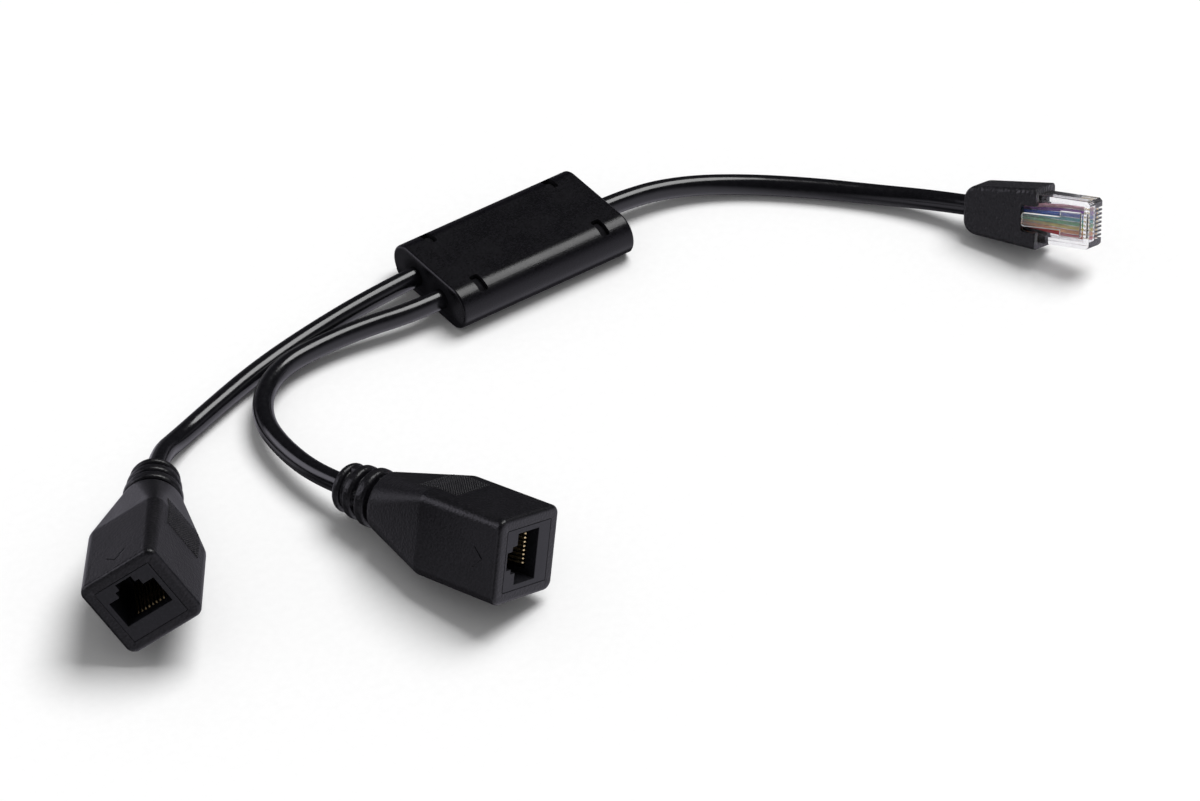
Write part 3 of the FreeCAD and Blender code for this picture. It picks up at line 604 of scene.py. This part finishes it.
def soften_node(node, width):
    """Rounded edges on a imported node, which keeps its mesh."""
    piece = NODES[node]
    weld = piece.modifiers.new("weld", "WELD")
    weld.merge_threshold = WELD_GAP * MM
    flat = piece.modifiers.new("flat", "DECIMATE")
    flat.decimate_type = "DISSOLVE"
    flat.angle_limit = FLAT_ANGLE
    bevel = piece.modifiers.new("edges", "BEVEL")
    bevel.width = width * MM
    bevel.segments = 2
    bevel.limit_method = "ANGLE"
    bevel.angle_limit = SMOOTH_ANGLE
    normals = piece.modifiers.new("normals", "WEIGHTED_NORMAL")
    normals.keep_sharp = False
    normals.weight = NORMAL_WEIGHT


def adopt(piece, material, body=ROOT, replaced=()):
    """Give a new piece its material, slot and body, and hide what it replaces."""
    piece.data.materials.clear()
    piece.data.materials.append(material)
    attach(piece, body)
    if replaced:
        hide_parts(*replaced)
    return piece


# ---------------------------------------------------------------- housing
def shell_outline(x, inset, floor_z):
    """Upper part of the housing's section: flat top and round long edges, cut off at a height."""
    middle = HOUSING_HEIGHT / 2
    radius = middle - inset
    flat = HOUSING_WIDTH / 2 - middle
    low = math.asin(max(-1.0, (floor_z - middle) / radius))
    arc = [low + (math.pi / 2 - low) * step / CORNER_STEPS for step in range(CORNER_STEPS + 1)]
    right = [(x, flat + radius * math.cos(a), middle + radius * math.sin(a)) for a in arc]
    left = [(x, -y, z) for x, y, z in reversed(right)]
    return right + left


def end_stations():
    """Stations along X with the inset of the rounded end edges."""
    half = HOUSING_LENGTH / 2
    near = []
    for angle in arc_steps(END_STEPS):
        near.append((half - HOUSING_END_ROUND * (1 - math.sin(angle)),
                     HOUSING_END_ROUND * (1 - math.cos(angle))))
    return [(-x, inset) for x, inset in reversed(near)] + near


def window_cutter(sign_x, sign_y):
    """Rounded prism that opens one snap window."""
    middle_y = sign_y * sum(WINDOW_Y) / 2
    half_y = (WINDOW_Y[1] - WINDOW_Y[0]) / 2
    ring = rounded_ring(0, WINDOW_HALF_X, half_y, WINDOW_CORNER)[::CUTTER_SKIP]
    outline = [(sign_x * WINDOW_X + y, middle_y + z, WINDOW_FLOOR_Z) for _, y, z in ring]
    bm = bmesh.new()
    prism(bm, outline, (0, 0, HOUSING_HEIGHT))
    return new_object("window_cutter", bm, Matrix.Scale(MM, 4))


def bore_cutter(x, y):
    """Cylinder for the wires through an end wall."""
    circle = circle_ring(x - BORE_CUT / 2, BORE_RADIUS)[::CUTTER_SKIP]
    ring = [(px, py + y, pz + HOUSING_HEIGHT / 2) for px, py, pz in circle]
    bm = bmesh.new()
    prism(bm, ring, (BORE_CUT, 0, 0))
    return new_object("bore_cutter", bm, Matrix.Scale(MM, 4))


def housing_top(materials):
    """Upper shell with four windows."""
    bm = bmesh.new()
    loft(bm, [shell_outline(x, inset, SEAM_Z) for x, inset in end_stations()])
    shell = new_object("housing_cover", bm, Matrix.Scale(MM, 4))
    inside = bmesh.new()
    reach = HOUSING_LENGTH / 2 - HOUSING_END_WALL
    loft(inside, [shell_outline(x, HOUSING_WALL, SEAM_Z - INSIDE_DROP) for x in (-reach, reach)])
    cutters = [new_object("inside_cutter", inside, Matrix.Scale(MM, 4))]
    half = HOUSING_LENGTH / 2
    bores = ((-half, CABLE_PAIR_Y), (-half, -CABLE_PAIR_Y), (half, 0))
    cutters += [bore_cutter(x, y) for x, y in bores]
    cutters += [window_cutter(sx, sy) for sx in (-1, 1) for sy in (-1, 1)]
    carve(shell, cutters)
    soften(shell, WINDOW_EDGE)
    return adopt(shell, materials["housing_plastic"],
                 replaced=["housing_top_shell"])


# ---------------------------------------------------------------- jacks
def groove_ring(x, quarter_turn):
    """Bottom of a groove: round, with a web on two opposite sides."""
    points = []
    for _, y, z in circle_ring(x, JACK_GROOVE_RADIUS):
        across = abs(y) if quarter_turn else abs(z)
        inside = JACK_BRIDGE_HALF + JACK_BRIDGE_BLEND / 2 - across
        share = max(0.0, min(1.0, inside / JACK_BRIDGE_BLEND))
        share = share * share * (3 - 2 * share)
        scale = 1 + share * (JACK_BRIDGE_RADIUS / JACK_GROOVE_RADIUS - 1)
        points.append((x, y * scale, z * scale))
    return points


def jack_rings():
    """Rings from the front rim over the outside to the rear and back through the inside."""
    rings = []
    front = JACK_FRONT_ROUND
    for a in arc_steps(ROUND_STEPS):
        half = JACK_HALF - front * (1 - math.sin(a))
        edge = JACK_EDGE[0] - front * (1 - math.sin(a))
        rings.append(rounded_ring(-front * (1 - math.cos(a)), half, half, edge))
    rings += taper_rings()
    rings += rib_rings()
    rings += inner_rings()
    return rings


def taper_rings():
    """Square block, crease and taper to round."""
    rings = []
    near = JACK_CREASE + JACK_CREASE_ROUND
    rings.append(rounded_ring(near, JACK_HALF, JACK_HALF, JACK_EDGE[1]))
    total = JACK_CREASE - JACK_CONE_END
    for share in JACK_TAPER_SHARES:
        x = JACK_CREASE - share * total
        half = JACK_HALF + share * (JACK_CONE_RADIUS - JACK_HALF)
        half -= max(0.0, JACK_CREASE_SHARE - share) * JACK_CREASE_SINK
        edge = JACK_EDGE[1] + share * (JACK_CONE_RADIUS - ROUND_SLACK - JACK_EDGE[1])
        if share == 1.0:
            half -= JACK_CONE_STEP
            edge -= JACK_CONE_STEP
        rings.append(rounded_ring(x, half, half, min(edge, half - ROUND_SLACK)))
    return rings


def rib_rings():
    """Three ribs with grooves between them, and the rounded rear end."""
    rings = []
    before = JACK_CONE_END
    for index, (start, end, radius) in enumerate(JACK_RIBS):
        turned = index % 2 == 1
        rings.append(groove_ring(before + JACK_GROOVE_GAP, turned))
        rings.append(groove_ring(start - JACK_GROOVE_GAP, turned))
        for a in arc_steps(FINE_STEPS):
            x = start - JACK_RIB_ROUND * (1 - math.cos(a))
            rings.append(circle_ring(x, radius - JACK_RIB_ROUND * (1 - math.sin(a))))
        rear = JACK_CAP_ROUND if end == JACK_REAR else JACK_RIB_ROUND
        for a in reversed(arc_steps(ROUND_STEPS)):
            x = end + rear * (1 - math.cos(a))
            rings.append(circle_ring(x, radius - rear * (1 - math.sin(a))))
        before = end
    return rings


def inner_rings():
    """Bore, wire space and socket pocket."""
    half_y, half_z = POCKET_HALF
    corner = POCKET_CORNER
    return [
        circle_ring(JACK_REAR, BORE_RADIUS),
        circle_ring(FAN_END, BORE_RADIUS),
        rounded_ring(FAN_END, *FAN_HALF, corner, FAN_MIDDLE_Z),
        rounded_ring(-POCKET_DEPTH, *FAN_HALF, corner, FAN_MIDDLE_Z),
        rounded_ring(-POCKET_DEPTH, half_y, half_z, corner),
        rounded_ring(-POCKET_EDGE, half_y, half_z, corner),
        rounded_ring(0, half_y + POCKET_EDGE, half_z + POCKET_EDGE, corner + POCKET_EDGE),
    ]


def chevron_cutter(matrix):
    """Engraved arrow head on the latch side, pointing to the mouth."""
    back = CHEVRON_APEX - CHEVRON_REACH
    leg = math.hypot(CHEVRON_REACH, CHEVRON_HALF_SPAN)
    ahead = CHEVRON_LINE / 2 * leg / CHEVRON_HALF_SPAN
    low = JACK_HALF - CHEVRON_DEPTH
    outline = [
        (CHEVRON_APEX + ahead, 0, low),
        (back + ahead, CHEVRON_HALF_SPAN, low),
        (back - ahead, CHEVRON_HALF_SPAN, low),
        (CHEVRON_APEX - ahead, 0, low),
        (back - ahead, -CHEVRON_HALF_SPAN, low),
        (back + ahead, -CHEVRON_HALF_SPAN, low),
    ]
    bm = bmesh.new()
    prism(bm, outline, (0, 0, CHEVRON_CUT))
    return new_object("chevron_cutter", bm, matrix)


def jack_body(name, matrix, materials):
    """Overmoulded body of one jack."""
    bm = bmesh.new()
    loft(bm, jack_rings(), closed=True)
    body = new_object(name + "_body", bm, matrix)
    carve(body, [chevron_cutter(matrix)])
    soften(body, JACK_MOULD_EDGE, MOULD_ANGLE, 1)
    return adopt(body, materials["overmould_black"],
                 replaced=[name + "_overmould"])


def grip_surface(x):
    """Height and slope of the grip face at a station."""
    if x > JACK_CREASE:
        return JACK_HALF, 0.0
    slope = (JACK_HALF - JACK_CONE_RADIUS) / (JACK_CREASE - JACK_CONE_END)
    return JACK_HALF + (x - JACK_CREASE) * slope, math.atan(slope)


def grip_flat(x):
    """Half width of the flat part of the grip face at a station."""
    share = max(0.0, (JACK_CREASE - x) / (JACK_CREASE - JACK_CONE_END))
    return (JACK_HALF - max(JACK_EDGE)) * (1 - share)


def grip_patch(name, matrix, materials):
    """Raised studs in staggered rows on one side face, across the crease."""
    bm = bmesh.new()
    rows = int((GRIP_X[0] - GRIP_X[1]) / (GRIP_PITCH / 2))
    columns = int(2 * GRIP_HALF_SPAN / GRIP_PITCH)
    for row in range(rows + 1):
        x = GRIP_X[0] - row * GRIP_PITCH / 2
        height, tilt = grip_surface(x)
        reach = min(GRIP_HALF_SPAN, grip_flat(x))
        for column in range(columns + 1):
            across = -GRIP_HALF_SPAN + (column + 0.5 * (row % 2)) * GRIP_PITCH
            if abs(across) > reach:
                continue
            place = Matrix.Translation((x, height - GRIP_SINK, across))
            place = place @ Matrix.Rotation(math.pi / 2, 4, "X").inverted()
            stud(bm, place @ Matrix.Rotation(-tilt, 4, "Y"))
    patch = new_object(name + "_grip", bm, matrix)
    smooth(patch, STUD_ANGLE)
    return adopt(patch, materials["overmould_black"])


def stud(bm, place):
    """One low domed stud."""
    rings = []
    for share, height in STUD_PROFILE:
        ring = []
        for step in range(STUD_SIDES):
            angle = 2 * math.pi * step / STUD_SIDES
            point = Vector((share * GRIP_RADIUS * math.cos(angle),
                            share * GRIP_RADIUS * math.sin(angle), height * GRIP_HEIGHT))
            ring.append(tuple(place @ point))
        rings.append(ring)
    loft(bm, rings)


# ---------------------------------------------------------------- plug
def boot_rings():
    """Rings of the boot from the front rim over the outside to the rear and back inside."""
    rings = []
    length = 2 * BOOT_HALF_LENGTH
    soft = BOOT_FRONT_ROUND
    for a in arc_steps(FINE_STEPS):
        shrink = soft * (1 - math.sin(a))
        x = BOOT_HALF_LENGTH - soft * (1 - math.cos(a))
        rings.append(rounded_ring(x, BOOT_FRONT[0] - shrink, BOOT_FRONT[1] - shrink,
                                  BOOT_EDGE - shrink))
    plan, side = BOOT_REAR_ROUND
    backs = [plan] + [side + (plan - side) * share for share in (0.75, 0.5, 0.25, 0.0)]
    backs += [side * (1 - math.sin(a)) for a in arc_steps(REAR_STEPS)[1:]]
    for back in backs:
        share = 1 - back / length
        half_y = BOOT_FRONT[0] + share * (BOOT_REAR[0] - BOOT_FRONT[0]) - rounding(back, plan)
        half_z = BOOT_FRONT[1] + share * (BOOT_REAR[1] - BOOT_FRONT[1]) - rounding(back, side)
        rings.append(rounded_ring(back - BOOT_HALF_LENGTH, half_y, half_z, BOOT_EDGE))
    half_y, half_z = BOOT_POCKET_HALF
    corner = BOOT_POCKET_CORNER
    rings += [
        circle_ring(-BOOT_HALF_LENGTH, BORE_RADIUS),
        circle_ring(BOOT_FAN_BACK, BORE_RADIUS),
        rounded_ring(BOOT_FAN_BACK, *BOOT_FAN_HALF, corner),
        rounded_ring(BOOT_POCKET_BACK, *BOOT_FAN_HALF, corner),
        rounded_ring(BOOT_POCKET_BACK, half_y, half_z, corner),
        rounded_ring(BOOT_HALF_LENGTH, half_y, half_z, corner),
    ]
    return rings


def rounding(back, radius):
    """How far a rounded rear edge has pulled in at a distance in front of the rear face."""
    if back >= radius:
        return 0.0
    return radius - math.sqrt(radius ** 2 - (radius - back) ** 2)


def notch_cutter(matrix):
    """Round-cornered notch for the latch tip."""
    ring = rounded_ring(0, NOTCH_DEPTH, NOTCH_HALF, NOTCH_CORNER)[::CUTTER_SKIP]
    low = BOOT_POCKET_HALF[1] - NOTCH_SINK
    outline = [(BOOT_HALF_LENGTH + y, z, low) for _, y, z in ring]
    bm = bmesh.new()
    prism(bm, outline, (0, 0, NOTCH_CUT))
    return new_object("notch_cutter", bm, matrix)


def boot(matrix, materials):
    """Moulded boot of the plug."""
    bm = bmesh.new()
    loft(bm, boot_rings(), closed=True)
    piece = new_object("plug_sleeve", bm, matrix)
    carve(piece, [notch_cutter(matrix)])
    soften(piece, BOOT_MOULD_EDGE, MOULD_ANGLE)
    return adopt(piece, materials["boot_black"], replaced=["plug_boot"])


# ---------------------------------------------------------------- cables
def cord_curve(name, points, material):
    """Round cable along one smooth curve."""
    curve = bpy.data.curves.new(name, "CURVE")
    curve.dimensions = "3D"
    curve.bevel_depth = CABLE_DIAMETER / 2
    curve.bevel_resolution = 12
    curve.resolution_u = 24
    curve.use_fill_caps = True
    spline = curve.splines.new("NURBS")
    spline.points.add(len(points) - 1)
    for control, point in zip(spline.points, points):
        control.co = (*point, 1.0)
    spline.order_u = 3
    spline.use_endpoint_u = True
    curve.materials.append(material)
    piece = bpy.data.objects.new(name + "_cord", curve)
    bpy.context.scene.collection.objects.link(piece)
    return piece


def cord(name, materials):
    """One free cable along a smooth curve, in place of the imported jacket."""
    piece = cord_curve(name, CORD_POINTS[name], materials["cable_jacket"])
    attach(piece, ROOT)
    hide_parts(name + "_jacket")


# ---------------------------------------------------------------- build
def dress_nodes(materials):
    """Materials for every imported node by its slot, and small edge roundings where they show."""
    for node in NODES.values():
        for holder in node.material_slots:
            holder.material = materials[holder.material.name.split(".")[0]]
    for part, width in JACK_NODE_EDGES.items():
        soften_node("jack_1_" + part, width)
        soften_node("jack_2_" + part, width)
    for node, width in NODE_EDGES.items():
        soften_node(node, width)
    # The latch's clear plastic gets a painted white glow on its side walls.
    for holder in NODES["plug_latch"].material_slots:
        holder.material = clear_plastic("clear_latch", wall=latch_wall())
    # Painted shade: jack_1's springs get the darker copy of the contact gold.
    for holder in NODES["jack_1_contact_springs"].material_slots:
        holder.material = materials["shaded_gold"]


def build(materials):
    """All new pieces, then the three cords."""
    housing_top(materials)
    inner_parts = ("insert", "contact_carrier", "contact_leads", "contact_springs",
                   "conductors", "ferrule")
    for number in ("1", "2"):
        jack = "jack_" + number
        matrix = own_frame(jack + "_socket", jack + "_contact_flex", 0.0)
        carried = [jack_body(jack, matrix, materials), grip_patch(jack, matrix, materials)]
        carried += [jack + "_" + part for part in inner_parts]
        cord("cable_" + number, materials)
    matrix = own_frame("plug_nose", "plug_latch_press", PLUG_NOSE_X)
    carried = [boot(matrix, materials), "plug_body", "plug_latch", "plug_contact_blades"]
    carried += ["plug_wire_" + str(index + 1) for index in range(len(WIRE_COLOURS))]
    cord("cable_3", materials)


def stage(material):
    """White floor, far larger than the view."""
    bm = bmesh.new()
    half = FLOOR_SIZE / 2
    corners = ((-half, -half, 0), (half, -half, 0), (half, half, 0), (-half, half, 0))
    bm.faces.new([bm.verts.new(corner) for corner in corners])
    floor = new_object("floor", bm, Matrix.Identity(4))
    floor.data.materials.append(material)
    floor.visible_glossy = False


def camera():
    """Long lens, looking down on the object from the left of its front."""
    data = bpy.data.cameras.new("camera")
    data.lens = CAMERA_LENS
    data.sensor_width = SENSOR_WIDTH
    data.clip_start, data.clip_end = CLIP_DISTANCES
    eye = bpy.data.objects.new("camera", data)
    eye.location = CAMERA_LOCATION
    look = Vector(CAMERA_TARGET) - Vector(CAMERA_LOCATION)
    eye.rotation_euler = look.to_track_quat("-Z", "Y").to_euler()
    bpy.context.scene.collection.objects.link(eye)
    bpy.context.scene.camera = eye


def world_panel(tree, direction, panel):
    """Soft-edged bright patch of the surround, seen in glossy surfaces."""
    centre, start, full, strength = panel
    dot = tree.nodes.new("ShaderNodeVectorMath")
    dot.operation = "DOT_PRODUCT"
    dot.inputs[1].default_value = Vector(centre).normalized()
    tree.links.new(direction, dot.inputs[0])
    fade = tree.nodes.new("ShaderNodeMapRange")
    fade.interpolation_type = "SMOOTHSTEP"
    fade.inputs["From Min"].default_value = start
    fade.inputs["From Max"].default_value = full
    fade.inputs["To Max"].default_value = strength
    tree.links.new(dot.outputs["Value"], fade.inputs["Value"])
    return fade.outputs["Result"]


def math_node(tree, operation, first, second):
    """Value of a sum or difference; the second term may be a number."""
    node = tree.nodes.new("ShaderNodeMath")
    node.operation = operation
    tree.links.new(first, node.inputs[0])
    if isinstance(second, bpy.types.NodeSocket):
        tree.links.new(second, node.inputs[1])
    else:
        node.inputs[1].default_value = second
    return node


def mirrored_room(tree):
    """Dark room with soft bright panels, for what glossy surfaces mirror."""
    direction = tree.nodes.new("ShaderNodeTexCoord").outputs["Generated"]
    total = DARK_ROOM
    for panel in GLOSS_PANELS:
        total = math_node(tree, "ADD", world_panel(tree, direction, panel), total).outputs["Value"]
    return total


def surround():
    """White surround, brighter through clear plastic, with the mirrored room in reflections."""
    world = bpy.data.worlds.new("studio")
    bpy.context.scene.world = world
    world.use_nodes = True
    tree = world.node_tree
    rays = tree.nodes.new("ShaderNodeLightPath").outputs
    mirror = math_node(tree, "SUBTRACT", rays["Is Glossy Ray"], rays["Is Transmission Ray"])
    mirror.use_clamp = True
    clear = tree.nodes.new("ShaderNodeMix")
    clear.inputs["A"].default_value = SOFT_LIGHT
    clear.inputs["B"].default_value = CLEAR_LIGHT
    strength = tree.nodes.new("ShaderNodeMix")
    tint = tree.nodes.new("ShaderNodeMix")
    tint.data_type = "RGBA"
    tint.inputs["A"].default_value = WHITE
    tint.inputs["B"].default_value = GLOSS_TINT
    background = tree.nodes["Background"].inputs
    for source, target in (
        (rays["Is Transmission Ray"], clear.inputs["Factor"]),
        (mirror.outputs["Value"], strength.inputs["Factor"]),
        (clear.outputs["Result"], strength.inputs["A"]),
        (mirrored_room(tree), strength.inputs["B"]),
        (strength.outputs["Result"], background["Strength"]),
        (mirror.outputs["Value"], tint.inputs["Factor"]),
        (tint.outputs["Result"], background["Color"]),
    ):
        tree.links.new(source, target)


def key_light():
    """One wide key light, almost overhead."""
    data = bpy.data.lights.new("key", "SUN")
    data.energy = KEY_STRENGTH
    data.angle = KEY_ANGLE
    key = bpy.data.objects.new("key", data)
    key.rotation_euler = Vector(KEY_DIRECTION).to_track_quat("Z", "Y").to_euler()
    bpy.context.scene.collection.objects.link(key)


all_materials = make_materials()
dress_nodes(all_materials)
build(all_materials)
stage(paper_floor())
camera()
surround()
key_light()
bpy.context.scene.view_settings.view_transform = "Standard"
